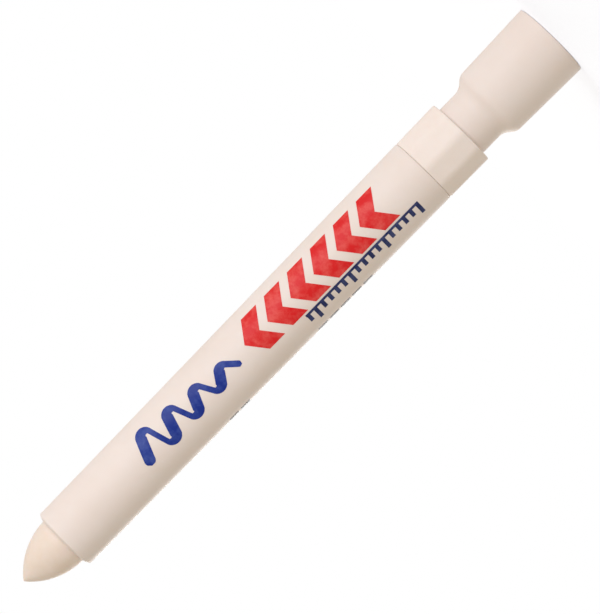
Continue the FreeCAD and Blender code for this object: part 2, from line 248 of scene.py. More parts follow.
def rounded_outline(corners, steps=4, hold=0.25, most=0.45):
    """Points (r, z, tag) of an outline. A corner is (r, z), (r, z, rounding) or (r, z, rounding, tag).

    A rounded corner becomes an arc, which takes at most a share of its shorter side. A point a little
    way down each long side holds the shading even."""
    points = []
    count = len(corners)
    for i, (r, z, *more) in enumerate(corners):
        radius, tag = (more + [0, 0])[:2]
        corner = Vector((r, z))
        if not radius:
            points.append((r, z, tag))
            continue
        sides = [Vector(corners[(i + step) % count][:2]) - corner for step in (-1, 1)]
        half = sides[0].angle(sides[1]) / 2
        reach = min(radius / math.tan(half), most * min(side.length for side in sides))
        radius = reach * math.tan(half)
        ends = [side.normalized() * reach for side in sides]
        centre = (ends[0] + ends[1]).normalized() * (radius / math.sin(half))
        spread = math.pi - 2 * half
        arc = []
        for k in range(steps + 1):
            first = math.sin((1 - k / steps) * spread) / math.sin(spread)
            last = math.sin(k / steps * spread) / math.sin(spread)
            arc.append(corner + centre + (ends[0] - centre) * first + (ends[1] - centre) * last)
        if most * sides[0].length > reach + hold:
            arc.insert(0, corner + sides[0].normalized() * (reach + hold))
        if most * sides[1].length > reach + hold:
            arc.append(corner + sides[1].normalized() * (reach + hold))
        points += [(point.x, point.y, tag) for point in arc]
    return points


def plain_mesh(name, places, edges=(), faces=()):
    """A mesh from lists of points in metres, edges and faces."""
    mesh = bpy.data.meshes.new(name)
    mesh.from_pydata(places, edges, faces)
    return mesh


def outline_mesh(corners, closed=True, **rounding):
    """The outline as a chain of points in the XZ plane. A closed one ends where it starts."""
    points = rounded_outline(corners, **rounding)
    if closed:
        points.append(points[0])
    places = [(r * MM, 0, z * MM) for r, z, tag in points]
    return plain_mesh("outline", places, edges=[(i, i + 1) for i in range(len(places) - 1)])


def add_object(name, data):
    """A new object in the scene."""
    thing = bpy.data.objects.new(name, data)
    bpy.context.scene.collection.objects.link(thing)
    return thing


def shaped(name, mesh, material, steps):
    """A new piece: a mesh put through geometry trees, (tree, inputs) each, and kept as a plain mesh."""
    start = add_object(name + "_start", mesh)
    for tree, values in steps:
        modifier = start.modifiers.new(tree.name, "NODES")
        modifier.node_group = tree
        values = values | {"Material": material}
        for item in tree.interface.items_tree:
            if item.in_out == "INPUT" and item.name in values:
                modifier[item.identifier] = values[item.name]
    evaluated = start.evaluated_get(bpy.context.evaluated_depsgraph_get())
    piece = add_object(name, bpy.data.meshes.new_from_object(evaluated))
    bpy.data.objects.remove(start)
    return piece


def effect_group(name, inputs):
    """An empty shader group with named inputs: (name, socket type, start value) each.

    It gives out a surface's colour, roughness and height."""
    tree = bpy.data.node_groups.new(name, "ShaderNodeTree")
    for label, kind, value in inputs:
        socket = tree.interface.new_socket(label, in_out="INPUT", socket_type="NodeSocket" + kind)
        if value is not None:
            socket.default_value = value
    for label, kind in (("Color", "Color"), ("Roughness", "Float"), ("Height", "Float")):
        tree.interface.new_socket(label, in_out="OUTPUT", socket_type="NodeSocket" + kind)
    return tree, add_node(tree, "NodeGroupInput").outputs


def noise(tree, place, scale, detail=2.0, roughness=0.5):
    """The value of a noise texture. Its scale is a count of swells to the metre."""
    inputs = {"Vector": place, "Scale": scale, "Detail": detail, "Roughness": roughness}
    return add_node(tree, "ShaderNodeTexNoise", inputs).outputs[0]


def blended(tree, share, first, second):
    """One colour turned into another by a share."""
    return add_node(tree, "ShaderNodeMix", {0: share, 6: first, 7: second}, data_type="RGBA").outputs[2]


def make_moulding_group():
    """What a steel mould leaves on plastic: cloudy colour, a fine satin grain, and long faint scuffs."""
    tree, given = effect_group("moulded_skin", [
        ("Vector", "Vector", None),
        ("Color", "Color", (1, 1, 1, 1)),
        ("Cloud Color", "Color", (1, 1, 1, 1)),
        ("Roughness", "Float", 0.4),
        ("Scuffs", "Float", 0.5),
    ])
    place = given["Vector"]
    cloudy = remap(tree, noise(tree, place, CLOUDS, detail=3.0, roughness=0.6), 0.35, 0.7)
    grain = noise(tree, place, SATIN_GRAIN)
    swell = noise(tree, place, SWELLS, detail=1.0)
    lengthwise = add_node(tree, "ShaderNodeMapping", {"Vector": place, "Scale": SCUFF_STROKES})
    scuff = remap(tree, noise(tree, lengthwise.outputs[0], 1.0), 0.62, 0.74)
    worn = remap(tree, noise(tree, place, WORN_PLACES), 0.5, 0.68)
    scuffed = calc(tree, "MULTIPLY", calc(tree, "MULTIPLY", scuff, worn), given["Scuffs"])
    rough = calc(tree, "ADD", given["Roughness"], calc(tree, "MULTIPLY", scuffed, 0.22))
    rough = calc(tree, "ADD", rough, calc(tree, "MULTIPLY", cloudy, 0.05))
    height = calc(tree, "ADD", calc(tree, "MULTIPLY", grain, 0.25), swell)
    height = calc(tree, "SUBTRACT", height, calc(tree, "MULTIPLY", scuffed, 0.3))
    tone = blended(tree, cloudy, given["Color"], given["Cloud Color"])
    add_node(tree, "NodeGroupOutput", {"Color": tone, "Roughness": rough, "Height": height})
    return tree


def material_start(name):
    """A new node material: its tree, its Principled BSDF and its Object coordinates."""
    material = bpy.data.materials.new(name)
    material.use_nodes = True
    tree = material.node_tree
    place = add_node(tree, "ShaderNodeTexCoord").outputs["Object"]
    return material, tree, tree.nodes["Principled BSDF"], place


def dress(tree, shader, colour, roughness, height, bump, fixed):
    """Feeds the shader what changes over the surface, and sets what is the same all over it.

    The bump is a strength and a depth."""
    strength, depth = bump
    inputs = {"Height": height, "Strength": strength, "Distance": depth * MM}
    relief = add_node(tree, "ShaderNodeBump", inputs)
    tree.links.new(colour, shader.inputs["Base Color"])
    tree.links.new(roughness, shader.inputs["Roughness"])
    tree.links.new(relief.outputs[0], shader.inputs["Normal"])
    for label, value in fixed.items():
        shader.inputs[label].default_value = value


def moulded_plastic(name, colour, cloud_colour, roughness, scuffs):
    """Satin moulded plastic, slightly milky under its skin."""
    material, tree, shader, place = material_start(name)
    skin = add_node(tree, "ShaderNodeGroup", {
        "Vector": place, "Color": colour, "Cloud Color": cloud_colour,
        "Roughness": roughness, "Scuffs": scuffs,
    }, node_tree=moulding_group).outputs
    dress(tree, shader, skin["Color"], skin["Roughness"], skin["Height"], PLASTIC_BUMP, {
        "Specular IOR Level": PLASTIC_SHINE,
        "Subsurface Weight": PLASTIC_MILK[0],
        "Subsurface Scale": PLASTIC_MILK[1] * MM,
        "Subsurface Radius": PLASTIC_GLOW,
    })
    return material


turning = make_turning_tree()
slotting = make_slotting_tree()
moulding_group = make_moulding_group()
white_plastic = moulded_plastic("white_plastic", WARM_WHITE, WARM_WHITE_DEEP, MOULD_SATIN, HANDLED)

barrel_outline = outline_mesh([
    (COUNTERBORE_R, REAR_Z, COUNTERBORE_EDGE_R),
    (REAR_R, REAR_Z, REAR_EDGE_R),
    (MOUTH_R, BEVEL_Z, MOUTH_EDGE_R),
    (MOUTH_R - MOUTH_BEVEL, MOUTH_Z, MOUTH_EDGE_R),
    (BORE_R, MOUTH_Z, BORE_EDGE_R),
    (BORE_R, COUNTERBORE_Z),
    (COUNTERBORE_R, COUNTERBORE_Z),
    (COUNTERBORE_R, SNAP_GROOVE_Z[1]),
    (SNAP_GROOVE_R, SNAP_GROOVE_Z[1]),
    (SNAP_GROOVE_R, SNAP_GROOVE_Z[0]),
    (COUNTERBORE_R, SNAP_GROOVE_Z[0]),
])
barrel = shaped("barrel_tube", barrel_outline, white_plastic, [
    (turning, {"Segments": BARREL_SEGMENTS}),
    (slotting, {
        "Count": GUIDE_COUNT, "Inner Radius": 0.0, "Outer Radius": GUIDE_R * MM, "Width": GUIDE_WIDTH * MM,
        "Low": (COUNTERBORE_Z - CUT_MARGIN) * MM, "High": (MOUTH_Z - GUIDE_FROM_MOUTH) * MM,
    }),
])
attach(barrel, "barrel")
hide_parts("barrel")


# Print
# Ink on the front of the barrel, put on by screen printing: a blue scribble near the tip, red chevrons that
# point to it, a navy scale beside them, and small grey dashes round the side. Each colour is one thin film.

INK_THICKNESS = 0.035
INK_COVER = 380.0
INK_TOOTH = 4200.0
INK_BUMP = (0.2, 0.03)
INK_SHINE = 0.2
PRINT_TOP_Z = MOUTH_Z - 23.0
PRINT_LOW_Z = REAR_Z + 5.7
PRINT_X = (-3.0, 5.5)

SCRIBBLE_LENGTH = 28.0
SCRIBBLE_STROKES = 8
SCRIBBLE_TURN_R = 1.3
SCRIBBLE_TURN_STEPS = 12
SCRIBBLE_STEP = 0.35
SCRIBBLE_WIDTHS = (2.5, 1.15)
SCRIBBLE_LEAST = 0.02
SCRIBBLE_TAPER = 0.35
SCRIBBLE_BLUE = (0.006, 0.026, 0.25, 1.0)
SCRIBBLE_BLUE_THIN = (0.065, 0.11, 0.39, 1.0)

CHEVRON_COUNT = 6
CHEVRON_GAP = 4.25
CHEVRON_TOP_Z = PRINT_TOP_Z - SCRIBBLE_LENGTH - CHEVRON_GAP
CHEVRON_PITCH = 6.8
CHEVRON_BAR = 4.4
CHEVRON_POINT = 3.2
CHEVRON_STEPS = 24
CHEVRON_RED = (0.70, 0.012, 0.014, 1.0)
CHEVRON_RED_THIN = (0.83, 0.15, 0.13, 1.0)

SCALE_LENGTH = 33.0
SCALE_GAP = 0.45
SCALE_LINE = 0.5
SCALE_X = (PRINT_X[0] - SCALE_GAP - SCALE_LINE, PRINT_X[0] - SCALE_GAP)
TICK_PITCH = 2.0
TICK_WIDTH = 0.9
TICK_LENGTHS = (1.3, 2.1)
TICKS_TO_LONG = 5
SCALE_NAVY = (0.012, 0.020, 0.095, 1.0)
SCALE_NAVY_THIN = (0.09, 0.11, 0.26, 1.0)

DASH_ROWS = ((42.0, 2), (68.3, 5))
DASH_PITCH = 3.3
DASH_SIZE = (0.45, 2.6)
DASH_STEP = 0.15
DASH_TURNS = (-75.0, -81.0)
DASH_GREY = (0.09, 0.09, 0.10, 1.0)
DASH_GREY_THIN = (0.22, 0.21, 0.21, 1.0)


def together(tree, *meshes):
    """Several meshes as one."""
    join = add_node(tree, "GeometryNodeJoinGeometry")
    for mesh in meshes:
        tree.links.new(mesh, join.inputs[0])
    return join.outputs[0]


def make_printing_tree():
    """Gives artwork, which lies flat in the XZ plane, a thickness and wraps it round the drafted barrel."""
    tree, given = shape_tree("printed_film", [
        ("Thickness", "Float"), ("Rear Radius", "Float"), ("Rear Height", "Float"), ("Draft", "Float"),
        ("First Turn", "Float"), ("Turn Step", "Float"), ("Turn Count", "Int"),
    ])
    sheet = welded(tree, given["Geometry"])
    lift = vector(tree, y=calc(tree, "MULTIPLY", given["Thickness"], -1.0))
    raised = add_node(
        tree, "GeometryNodeExtrudeMesh", {"Mesh": sheet, "Offset": lift, "Individual": False}, mode="FACES"
    )
    under = add_node(tree, "GeometryNodeFlipFaces", {"Mesh": sheet})
    slab = welded(tree, together(tree, raised.outputs["Mesh"], under.outputs[0]))
    place = add_node(tree, "GeometryNodeInputPosition").outputs[0]
    flat = add_node(tree, "ShaderNodeSeparateXYZ", {0: place}).outputs
    along = calc(tree, "SUBTRACT", flat["Z"], given["Rear Height"])
    surface = calc(tree, "SUBTRACT", given["Rear Radius"], calc(tree, "MULTIPLY", along, given["Draft"]))
    radius = calc(tree, "SUBTRACT", surface, flat["Y"])
    square = calc(tree, "SUBTRACT", calc(tree, "POWER", radius, 2.0), calc(tree, "POWER", flat["X"], 2.0))
    depth = calc(tree, "MULTIPLY", calc(tree, "SQRT", square), -1.0)
    wrapped = vector(tree, x=flat["X"], y=depth, z=flat["Z"])
    film = add_node(tree, "GeometryNodeSetPosition", {"Geometry": slab, "Position": wrapped})
    end_tree(tree, given, turned_copies(
        tree, film.outputs[0], given["Turn Count"], given["First Turn"], given["Turn Step"]
    ))
    return tree


def make_row_tree():
    """Repeats artwork down the barrel."""
    tree, given = shape_tree("print_row", [("Count", "Int"), ("Pitch", "Float")])
    step = vector(tree, z=calc(tree, "MULTIPLY", given["Pitch"], -1.0))
    line = add_node(tree, "GeometryNodeMeshLine", {"Count": given["Count"], "Offset": step})
    end_tree(tree, given, copied(tree, line.outputs[0], given["Geometry"]))
    return tree


def artwork(strips):
    """Flat artwork from strips. A strip is a list of crossings, and a crossing a list of (x, z) points."""
    places, faces = [], []
    for strip in strips:
        wide = len(strip[0])
        for i, crossing in enumerate(strip):
            places += [(x * MM, 0, z * MM) for x, z in crossing]
            if i:
                first = len(places) - 2 * wide
                for low in range(first, first + wide - 1):
                    faces.append((low, low + 1, low + wide + 1, low + wide))
    return plain_mesh("artwork", places, faces=faces)


def block(x_low, x_high, z_low, z_high, step=0.4):
    """A rectangle as a strip, cut finely enough across the barrel to follow it."""
    count = max(1, round((x_high - x_low) / step))
    columns = [x_low + (x_high - x_low) * k / count for k in range(count + 1)]
    return [[(x, z_high), (x, z_low)] for x in columns]


def printed(name, art, material, steps=(), turns=(0.0, 0.0, 1)):
    """A film of ink on the barrel, from flat artwork. The turns are its first angle, step and count."""
    film = {
        "Thickness": INK_THICKNESS * MM, "Rear Radius": REAR_R * MM, "Rear Height": REAR_Z * MM,
        "Draft": BARREL_NARROWING / (BEVEL_Z - REAR_Z),
        "First Turn": math.radians(turns[0]), "Turn Step": math.radians(turns[1]), "Turn Count": turns[2],
    }
    piece = shaped(name, art, material, list(steps) + [(printing, film)])
    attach(piece, "barrel")
    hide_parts(name.replace("ink", "print"))


def make_ink_group():
    """Screen printed ink: slightly uneven cover, with a fine tooth from the plastic under it."""
    tree, given = effect_group("printed_ink", [
        ("Vector", "Vector", None),
        ("Color", "Color", (0, 0, 0, 1)),
        ("Thin Color", "Color", (1, 1, 1, 1)),
    ])
    cover = noise(tree, given["Vector"], INK_COVER, detail=4.0, roughness=0.65)
    thin = remap(tree, cover, 0.42, 0.74, 0.0, 0.7)
    tone = blended(tree, thin, given["Color"], given["Thin Color"])
    rough = remap(tree, cover, 0.0, 1.0, 0.34, 0.5)
    tooth = noise(tree, given["Vector"], INK_TOOTH)
    add_node(tree, "NodeGroupOutput", {"Color": tone, "Roughness": rough, "Height": tooth})
    return tree


def printed_ink(name, colour, thin_colour):
    """One colour of printing ink."""
    material, tree, shader, place = material_start(name)
    ink = add_node(tree, "ShaderNodeGroup", {
        "Vector": place, "Color": colour, "Thin Color": thin_colour,
    }, node_tree=ink_group).outputs
    dress(tree, shader, ink["Color"], ink["Roughness"], ink["Height"], INK_BUMP, {
        "Specular IOR Level": INK_SHINE,
    })
    return material


def scribble_path():
    """The middle of the stroke: to and fro across the barrel, with round turns, in short even steps."""
    inset = max(SCRIBBLE_WIDTHS) / 2
    drop = SCRIBBLE_LENGTH / SCRIBBLE_STROKES
    corners = []
    for i in range(SCRIBBLE_STROKES + 1):
        aside = inset + SCRIBBLE_TAPER * i
        x = PRINT_X[1] - aside if i % 2 else PRINT_X[0] + aside / 2
        corners.append(Vector((x, PRINT_TOP_Z - inset - drop * i)))
    path = [corners[0]]
    for before, corner, after in zip(corners, corners[1:], corners[2:]):
        back, on = (before - corner).normalized(), (after - corner).normalized()
        middle = (back + on).normalized()
        bend = back.angle(on) / 2
        corner = corner - middle * (SCRIBBLE_TURN_R / math.sin(bend) - SCRIBBLE_TURN_R)
        centre = corner + middle * (SCRIBBLE_TURN_R / math.sin(bend))
        start = corner + back * (SCRIBBLE_TURN_R / math.tan(bend)) - centre
        sweep = math.copysign(math.pi - 2 * bend, -back.cross(on))
        for k in range(SCRIBBLE_TURN_STEPS + 1):
            path.append(centre + Matrix.Rotation(sweep * k / SCRIBBLE_TURN_STEPS, 2) @ start)
    path.append(corners[-1])
    fine = []
    for start, end in zip(path, path[1:]):
        count = max(1, round((end - start).length / SCRIBBLE_STEP))
        fine += [start.lerp(end, k / count) for k in range(count)]
    return fine + [path[-1]]


def scribble_strip():
    """The stroke of a broad nib along the path. It is wider on its way down, and its ends are round."""
    path = scribble_path()
    lengths = [0.0]
    for start, end in zip(path, path[1:]):
        lengths.append(lengths[-1] + (end - start).length)
    wide, narrow = SCRIBBLE_WIDTHS
    strip = []
    for i, point in enumerate(path):
        ahead = (path[min(i + 1, len(path) - 1)] - path[max(i - 1, 0)]).normalized()
        half = (narrow + (wide - narrow) * (0.5 + 0.5 * ahead.x)) / 2
        from_end = min(lengths[i], lengths[-1] - lengths[i])
        round_end = math.sqrt(max(0.0, 1 - max(0.0, 1 - from_end / half) ** 2))
        across = Vector((-ahead.y, ahead.x)) * (half * max(round_end, SCRIBBLE_LEAST))
        strip.append([tuple(point + across), tuple(point), tuple(point - across)])
    return strip


def chevron_strip():
    """One chevron that points to the tip."""
    middle = (PRINT_X[0] + PRINT_X[1]) / 2
    half = (PRINT_X[1] - PRINT_X[0]) / 2
    strip = []
    for k in range(CHEVRON_STEPS + 1):
        x = PRINT_X[0] + 2 * half * k / CHEVRON_STEPS
        top = CHEVRON_TOP_Z - CHEVRON_POINT * abs(x - middle) / half
        strip.append([(x, top), (x, top - CHEVRON_BAR / 2), (x, top - CHEVRON_BAR)])
    return strip


def scale_strips():
    """A fine line, cut where ticks leave it, and the ticks."""
    strips = []
    z = PRINT_LOW_Z
    end = PRINT_LOW_Z + SCALE_LENGTH
    index = 0
    while z + TICK_WIDTH <= end:
        length = TICK_LENGTHS[1] if index % TICKS_TO_LONG == 0 else TICK_LENGTHS[0]
        strips.append(block(SCALE_X[0] - length, SCALE_X[0], z, z + TICK_WIDTH))
        strips.append(block(SCALE_X[0], SCALE_X[1], z, z + TICK_WIDTH))
        gap_end = min(z + TICK_PITCH, end)
        if gap_end > z + TICK_WIDTH:
            strips.append(block(SCALE_X[0], SCALE_X[1], z + TICK_WIDTH, gap_end))
        z += TICK_PITCH
        index += 1
    return strips


def dash_strips():
    """Short dashes in groups down one line."""
    strips = []
    width, length = DASH_SIZE
    for from_mouth, count in DASH_ROWS:
        for i in range(count):
            top = MOUTH_Z - from_mouth - DASH_PITCH * i
            strips.append(block(-width / 2, width / 2, top - length, top, DASH_STEP))
    return strips


printing = make_printing_tree()
row_of = make_row_tree()
ink_group = make_ink_group()
blue_ink = printed_ink("blue_ink", SCRIBBLE_BLUE, SCRIBBLE_BLUE_THIN)
red_ink = printed_ink("red_ink", CHEVRON_RED, CHEVRON_RED_THIN)
navy_ink = printed_ink("navy_ink", SCALE_NAVY, SCALE_NAVY_THIN)
grey_ink = printed_ink("grey_ink", DASH_GREY, DASH_GREY_THIN)

printed("ink_scribble", artwork([scribble_strip()]), blue_ink)
printed(
    "ink_chevrons", artwork([chevron_strip()]), red_ink,
    steps=[(row_of, {"Count": CHEVRON_COUNT, "Pitch": CHEVRON_PITCH * MM})],
)
printed("ink_scale", artwork(scale_strips()), navy_ink)
printed(
    "ink_dashes", artwork(dash_strips()), grey_ink,
    turns=(DASH_TURNS[0], DASH_TURNS[1] - DASH_TURNS[0], 2),
)


# Twist knob
# The ten-sided grip behind the barrel, in the same plastic coloured a little lighter than the barrel's. In
# front it has a slotted journal whose bead snaps into the barrel, behind it a round socket for the cap's
# nose, and in its middle a six-sided seat for the spindle.

KNOB_LOW, KNOB_HIGH = [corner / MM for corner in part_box("twist_knob")]
SEAM = 0.02
GRIP_Z = (KNOB_LOW.z, REAR_Z - SEAM)
GRIP_FLAT_R = (7.9, 7.8)
GRIP_SIDES = 10
GRIP_CORNER_ANGLE = 268.5
GRIP_CORNER_R = 3.0
GRIP_CORNER_STEPS = 3
GRIP_FLAT_STEPS = 4
GRIP_FLAT_STEP = 0.23
GRIP_EDGE_R = 0.3
SOCKET_R = 6.4
SOCKET_FLOOR_Z = GRIP_Z[1] - 3.0
SOCKET_EDGE_R = 0.3
JOURNAL_R = 6.42
JOURNAL_INNER_R = 5.22
JOURNAL_EDGE_R = 0.25
JOURNAL_Z = KNOB_HIGH.z
JOURNAL_SLOTS = 4
SLOT_WIDTH = 1.2
SLOT_FLOOR_Z = GRIP_Z[1] + 1.2
BEAD_R = 6.75
BEAD_Z = GRIP_Z[1] + 4.1
BEAD_WIDTH = 1.2
BEAD_CREST = (-0.25, 0.05)
BEAD_EDGE_R = 0.12
HUB_R = 3.4
HUB_EDGE_R = 0.1
SEAT_FLAT_R = 1.82
SEAT_Z = SOCKET_FLOOR_Z + 1.5
HEX_CORNER_R = 0.05
ROUND, HEX = 0, 6
KNOB_WHITE = (0.905, 0.812, 0.772, 1.0)
KNOB_WHITE_DEEP = (0.885, 0.78, 0.73, 1.0)


def flat_angle(flat_r, sides, corner_r):
    """The angle from the middle of a rounded polygon's side to the end of its flat."""
    return math.atan((flat_r - corner_r) * math.tan(math.pi / sides) / flat_r)


def grip_angles():
    """The angles of the points in each of the knob's rings, close together at the grip's corners."""
    angles = []
    half = math.pi / GRIP_SIDES
    flat = flat_angle(GRIP_FLAT_R[0], GRIP_SIDES, GRIP_CORNER_R)
    for side in range(GRIP_SIDES):
        corner = math.radians(GRIP_CORNER_ANGLE) + 2 * half * side
        for k in range(-GRIP_CORNER_STEPS, GRIP_CORNER_STEPS + 1):
            angles.append(corner + (half - flat) * k / GRIP_CORNER_STEPS)
        for k in range(-GRIP_FLAT_STEPS, GRIP_FLAT_STEPS + 1):
            angles.append(corner + half + flat * GRIP_FLAT_STEP * k)
    return angles


def polygon_reach(flat_r, sides, corner_r, from_corner):
    """How far a rounded regular polygon reaches at an angle from its corner."""
    half = math.pi / sides
    from_corner = abs((from_corner + half) % (2 * half) - half)
    if half - from_corner < flat_angle(flat_r, sides, corner_r):
        return flat_r / math.cos(half - from_corner)
    centre = (flat_r - corner_r) / math.cos(half)
    aside = centre * math.sin(from_corner)
    return centre * math.cos(from_corner) + math.sqrt(corner_r ** 2 - aside ** 2)


def knob_reach(r, shape, angle):
    """The radius of one of the knob's rings at an angle. Its shape is round or a polygon."""
    if shape == GRIP_SIDES:
        return polygon_reach(r, GRIP_SIDES, GRIP_CORNER_R, angle - math.radians(GRIP_CORNER_ANGLE))
    if shape == HEX:
        return polygon_reach(r, HEX, HEX_CORNER_R, angle)
    return r


def ring_places(r, z, shape, angles):
    """The points of one ring."""
    places = []
    for angle in angles:
        reach = knob_reach(r, shape, angle) * MM
        places.append((reach * math.cos(angle), reach * math.sin(angle), z * MM))
    return places


def band_faces(low, wide):
    """The faces between a ring, whose first point has the number low, and the ring after it."""
    faces = []
    for j in range(wide):
        after = (j + 1) % wide
        faces.append((low + j, low + after, low + wide + after, low + wide + j))
    return faces


def knob_mesh(points, angles):
    """A closed skin over the knob's rings. The first and last outline points lie on the axis."""
    wide = len(angles)
    places = [(0, 0, points[0][1] * MM)]
    for r, z, shape in points[1:-1]:
        places += ring_places(r, z, shape, angles)
    last = len(places) - wide
    places.append((0, 0, points[-1][1] * MM))
    faces = []
    for low in range(1, last, wide):
        faces += band_faces(low, wide)
    for j in range(wide):
        after = (j + 1) % wide
        faces.append((0, 1 + after, 1 + j))
        faces.append((last + j, last + after, last + wide))
    return plain_mesh("knob", places, faces=faces)


knob_points = rounded_outline([
    (0.0, SOCKET_FLOOR_Z),
    (SOCKET_R, SOCKET_FLOOR_Z, SOCKET_EDGE_R, ROUND),
    (SOCKET_R, GRIP_Z[0], SOCKET_EDGE_R, ROUND),
    (GRIP_FLAT_R[0], GRIP_Z[0], GRIP_EDGE_R, GRIP_SIDES),
    (GRIP_FLAT_R[1], GRIP_Z[1], GRIP_EDGE_R, GRIP_SIDES),
    (JOURNAL_R, GRIP_Z[1], 0, ROUND),
    (JOURNAL_R, BEAD_Z - BEAD_WIDTH / 2, 0, ROUND),
    (BEAD_R, BEAD_Z + BEAD_CREST[0], BEAD_EDGE_R, ROUND),
    (BEAD_R, BEAD_Z + BEAD_CREST[1], BEAD_EDGE_R, ROUND),
    (JOURNAL_R, BEAD_Z + BEAD_WIDTH / 2, 0, ROUND),
    (JOURNAL_R, JOURNAL_Z, JOURNAL_EDGE_R, ROUND),
    (JOURNAL_INNER_R, JOURNAL_Z, HUB_EDGE_R, ROUND),
    (JOURNAL_INNER_R, GRIP_Z[1], 0, ROUND),
    (HUB_R, GRIP_Z[1], 0, ROUND),
    (HUB_R, JOURNAL_Z, HUB_EDGE_R, ROUND),
    (SEAT_FLAT_R, JOURNAL_Z, 0, HEX),
    (SEAT_FLAT_R, SEAT_Z, 0, HEX),
    (0.0, SEAT_Z),
])
knob_plastic = moulded_plastic("knob_plastic", KNOB_WHITE, KNOB_WHITE_DEEP, MOULD_SATIN, HANDLED)
knob = shaped("knob_grip", knob_mesh(knob_points, grip_angles()), knob_plastic, [
    (slotting, {
        "Count": JOURNAL_SLOTS, "Inner Radius": HUB_R * MM, "Outer Radius": REAR_R * MM,
        "Width": SLOT_WIDTH * MM, "Low": SLOT_FLOOR_Z * MM, "High": (JOURNAL_Z + CUT_MARGIN) * MM,
    }),
])
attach(knob, "knob")
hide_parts("twist_knob")


# Screw spindle
# The drive rod, moulded in natural polypropylene, with a six-sided stub that is pressed into the knob.
# Its left-hand thread pushes the carrier up the barrel when the knob is turned clockwise, seen from the
# knob's end.

SPINDLE_LOW, SPINDLE_HIGH = [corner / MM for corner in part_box("screw_spindle")]
FLANGE_THICKNESS = 1.0
FLANGE_BEVEL = 0.1
STUB_FLAT_R = 1.8
STUB_BEVEL = 0.15
POINT_LENGTH = 0.8
POINT_TAPER = 0.7
THREAD_LEAD = 5.0
THREAD_CREST_R = 2.7
THREAD_CORE_R = 1.9
THREAD_CREST = 1.1
THREAD_FLANK = 0.45
THREAD_RUN_OUT = 2.0
THREAD_ROWS = 20
THREAD_SEGMENTS = 48
NATURAL = (0.74, 0.72, 0.66, 1.0)
NATURAL_DEEP = (0.68, 0.655, 0.585, 1.0)
INNER_SATIN = 0.36
UNHANDLED = 0.2


def make_thread_tree():
    """A left-hand screw. Its rows follow the helix, and rows past an end are drawn back to that end."""
    tree, given = shape_tree("left_hand_thread", [
        ("Low", "Float"), ("High", "Float"), ("Lead", "Float"), ("Core Radius", "Float"),
        ("Crest Radius", "Float"), ("Crest Width", "Float"), ("Flank Width", "Float"), ("Run Out", "Float"),
        ("Segments", "Int"), ("Rows", "Int"),
    ])
    length = calc(tree, "SUBTRACT", given["High"], given["Low"])
    turns = calc(tree, "CEIL", calc(tree, "ADD", calc(tree, "DIVIDE", length, given["Lead"]), 1.0))
    rows = calc(tree, "ADD", calc(tree, "MULTIPLY", turns, given["Rows"]), 1.0)
    grid, row, share = grid_round_axis(tree, rows, given["Segments"])
    phase = calc(tree, "DIVIDE", row, given["Rows"])
    climb = calc(tree, "MULTIPLY", calc(tree, "SUBTRACT", phase, share), given["Lead"])
    height = calc(tree, "ADD", given["Low"], climb)
    height = calc(tree, "MINIMUM", calc(tree, "MAXIMUM", height, given["Low"]), given["High"])
    winding = calc(tree, "ADD", calc(tree, "DIVIDE", height, given["Lead"]), share)
    from_crest = calc(tree, "ABSOLUTE", calc(tree, "SUBTRACT", calc(tree, "FRACT", winding), 0.5))
    from_crest = calc(tree, "MULTIPLY", from_crest, given["Lead"])
    past_crest = calc(tree, "SUBTRACT", from_crest, calc(tree, "MULTIPLY", given["Crest Width"], 0.5))
    ridge = remap(tree, past_crest, 0.0, given["Flank Width"], 1.0, 0.0)
    from_low = calc(tree, "SUBTRACT", height, given["Low"])
    from_high = calc(tree, "SUBTRACT", given["High"], height)
    from_end = calc(tree, "DIVIDE", calc(tree, "MINIMUM", from_low, from_high), given["Run Out"])
    fade = calc(tree, "MINIMUM", from_end, 1.0)
    depth = calc(tree, "SUBTRACT", given["Crest Radius"], given["Core Radius"])
    proud = calc(tree, "MULTIPLY", calc(tree, "MULTIPLY", ridge, fade), depth)
    radius = calc(tree, "ADD", given["Core Radius"], proud)
    angle = calc(tree, "MULTIPLY", share, 2 * math.pi)
    place = vector(
        tree,
        x=calc(tree, "MULTIPLY", radius, calc(tree, "COSINE", angle)),
        y=calc(tree, "MULTIPLY", radius, calc(tree, "SINE", angle)),
        z=height,
    )
    skin = add_node(tree, "GeometryNodeSetPosition", {"Geometry": grid, "Position": place})
    end_tree(tree, given, together(tree, skin.outputs[0], given["Geometry"]))
    return tree


def even_angles(count):
    """Angles evenly spaced round the Z axis."""
    return [2 * math.pi * j / count for j in range(count)]


def spindle_ends_mesh():
    """The rod's ends without the thread's skin: the stub and flange below, and the point above."""
    low, top = SPINDLE_LOW.z, SPINDLE_HIGH.z
    flange_top = JOURNAL_Z + FLANGE_THICKNESS
    stub_and_flange = [
        (0.0, low, ROUND),
        (STUB_FLAT_R - STUB_BEVEL, low, HEX),
        (STUB_FLAT_R, low + STUB_BEVEL, HEX),
        (STUB_FLAT_R, JOURNAL_Z, HEX),
        (HUB_R - FLANGE_BEVEL, JOURNAL_Z, ROUND),
        (HUB_R, JOURNAL_Z + FLANGE_BEVEL, ROUND),
        (HUB_R, flange_top - FLANGE_BEVEL, ROUND),
        (HUB_R - FLANGE_BEVEL, flange_top, ROUND),
        (THREAD_CORE_R, flange_top, ROUND),
    ]
    point = [
        (THREAD_CORE_R, top - POINT_LENGTH, ROUND),
        (THREAD_CORE_R - POINT_TAPER, top, ROUND),
        (0.0, top, ROUND),
    ]
    angles = even_angles(THREAD_SEGMENTS)
    places, faces = [], []
    for rings in (stub_and_flange, point):
        for i, (r, z, shape) in enumerate(rings):
            places += ring_places(r, z, shape, angles)
            if i:
                faces += band_faces(len(places) - 2 * THREAD_SEGMENTS, THREAD_SEGMENTS)
    return plain_mesh("spindle_ends", places, faces=faces)


